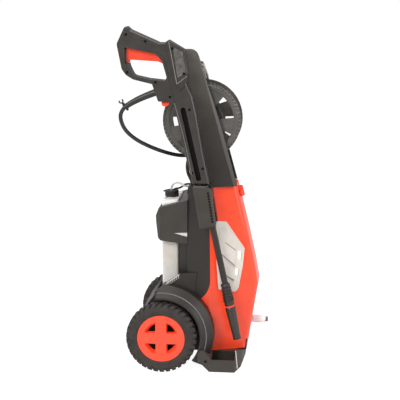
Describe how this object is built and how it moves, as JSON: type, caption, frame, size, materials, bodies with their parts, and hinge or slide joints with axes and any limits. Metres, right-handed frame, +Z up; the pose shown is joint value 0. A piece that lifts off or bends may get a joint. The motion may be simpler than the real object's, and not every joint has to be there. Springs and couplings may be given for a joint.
{
  "type": "pressure washer",
  "caption": "Upright electric pressure washer on wheels with a hose reel between its handle uprights, a spray gun with lance in a side holster and a detergent bottle.",
  "frame": {"origin": "middle of the machine's length and width on the floor", "axes": "+Z up, +X to the front with the water inlet and switch, -Y to the side that carries the spray gun"},
  "size_m": [0.3753, 0.33, 0.8728],
  "materials": {
    "black_moulding": "satin moulded",
    "dark_grey_moulding": "fine textured",
    "red_moulding": "gloss",
    "grey_panel": "satin",
    "tyre_rubber": "matt",
    "soft_rubber": "matt",
    "hose_rubber": "satin",
    "clear_plastic": "translucent",
    "bright_steel": "turned",
    "brass": "machined",
    "cast_aluminium": "cast",
    "painted_steel": "painted"
  },
  "bodies": {
    "chassis": {"rear_housing": "black_moulding", "front_cover": "red_moulding", "base_foot": "black_moulding", "right_fender": "black_moulding", "left_fender": "black_moulding", "bottle_shelf": "black_moulding", "bottle_holder": "black_moulding", "right_side_panel": "grey_panel", "left_side_panel": "grey_panel", "right_upright": "dark_grey_moulding", "left_upright": "dark_grey_moulding", "grip_bar": "black_moulding", "holster": "dark_grey_moulding", "wheel_axle": "bright_steel", "axle_washers": "bright_steel", "rubber_feet": "soft_rubber", "housing_screws": "bright_steel", "motor_can": "painted_steel", "pump_body": "cast_aluminium", "pump_head": "cast_aluminium", "pump_pistons": "bright_steel", "inlet_fitting": "clear_plastic", "inlet_thread": "black_moulding", "pressure_pipe": "bright_steel", "switch_box": "black_moulding", "cable_gland": "soft_rubber", "reel_swivel": "brass", "feed_hoses": "hose_rubber", "hose_run": "hose_rubber"},
    "right_wheel": {"right_wheel_hub": "red_moulding", "right_tyre": "tyre_rubber"},
    "left_wheel": {"left_wheel_hub": "red_moulding", "left_tyre": "tyre_rubber"},
    "reel": {"right_reel_flange": "black_moulding", "left_reel_flange": "black_moulding", "reel_drum": "black_moulding", "wound_hose": "hose_rubber", "crank_arm": "dark_grey_moulding"},
    "crank_handle": {"crank_knob": "black_moulding"},
    "switch_knob": {"power_knob": "red_moulding"},
    "gun": {"right_gun_shell": "dark_grey_moulding", "left_gun_shell": "dark_grey_moulding", "gun_valve": "brass", "gun_screws": "bright_steel", "trigger_pin": "bright_steel", "hose_sleeve": "soft_rubber", "lance_tube": "black_moulding", "nozzle_ring": "red_moulding", "nozzle": "black_moulding"},
    "trigger": {"trigger": "red_moulding"},
    "trigger_lock": {"trigger_lock": "black_moulding"},
    "release_button": {"hose_release_button": "red_moulding"},
    "spray_collar": {"nozzle_collar": "black_moulding"},
    "bottle": {"bottle": "clear_plastic", "clear_tube": "clear_plastic", "black_tube": "hose_rubber"},
    "bottle_cap": {"bottle_cap": "black_moulding"},
    "rotor": {"motor_rotor": "bright_steel", "cooling_fan": "black_moulding", "swash_plate": "bright_steel"}
  },
  "joints": [
    {"name": "right_wheel_spin", "type": "hinge", "parent": "chassis", "child": "right_wheel", "pos_m": [-0.0775, -0.145, 0.09], "axis": [0, 1, 0], "continuous": true},
    {"name": "left_wheel_spin", "type": "hinge", "parent": "chassis", "child": "left_wheel", "pos_m": [-0.0775, 0.145, 0.09], "axis": [0, 1, 0], "continuous": true},
    {"name": "reel_spin", "type": "hinge", "parent": "chassis", "child": "reel", "pos_m": [0.0145, 0, 0.632], "axis": [0, 1, 0], "continuous": true},
    {"name": "crank_knob_spin", "type": "hinge", "parent": "reel", "child": "crank_handle", "pos_m": [0.0821, 0.101, 0.6621], "axis": [0, 1, 0], "continuous": true},
    {"name": "switch_turn", "type": "hinge", "parent": "chassis", "child": "switch_knob", "pos_m": [0.11, 0, 0.445], "axis": [0.9701, 0, 0.2425], "range_deg": [0, 90]},
    {"name": "gun_lift", "type": "slide", "parent": "chassis", "child": "gun", "axis": [-0.2139, 0, 0.9768], "range_m": [0, 0.08]},
    {"name": "trigger_pull", "type": "hinge", "parent": "gun", "child": "trigger", "pos_m": [-0.0825, -0.105, 0.803], "axis": [0, 1, 0], "range_deg": [0, 10], "stiffness_Nm_per_rad": 1.5, "springref_deg": -8.59},
    {"name": "trigger_lock_turn", "type": "hinge", "parent": "trigger", "child": "trigger_lock", "pos_m": [-0.1605, -0.105, 0.79], "axis": [0, 1, 0], "range_deg": [0, 40]},
    {"name": "hose_release_press", "type": "slide", "parent": "gun", "child": "release_button", "axis": [0, 0, 1], "range_m": [0, 0.0025], "stiffness_N_per_m": 600, "springref_m": -0.003},
    {"name": "spray_collar_turn", "type": "hinge", "parent": "gun", "child": "spray_collar", "pos_m": [0.049, -0.105, 0.371], "axis": [0.2139, 0, -0.9768], "range_deg": [0, 90]},
    {"name": "bottle_lift", "type": "slide", "parent": "chassis", "child": "bottle", "axis": [0, 0, 1], "range_m": [0, 0.05]},
    {"name": "bottle_cap_turn", "type": "hinge", "parent": "bottle", "child": "bottle_cap", "pos_m": [-0.0675, 0, 0.436], "axis": [0, 0, 1], "range_deg": [0, 120]},
    {"name": "rotor_spin", "type": "hinge", "parent": "chassis", "child": "rotor", "pos_m": [0.0805, 0, 0.3], "axis": [0, 0, 1], "continuous": true}
  ]
}
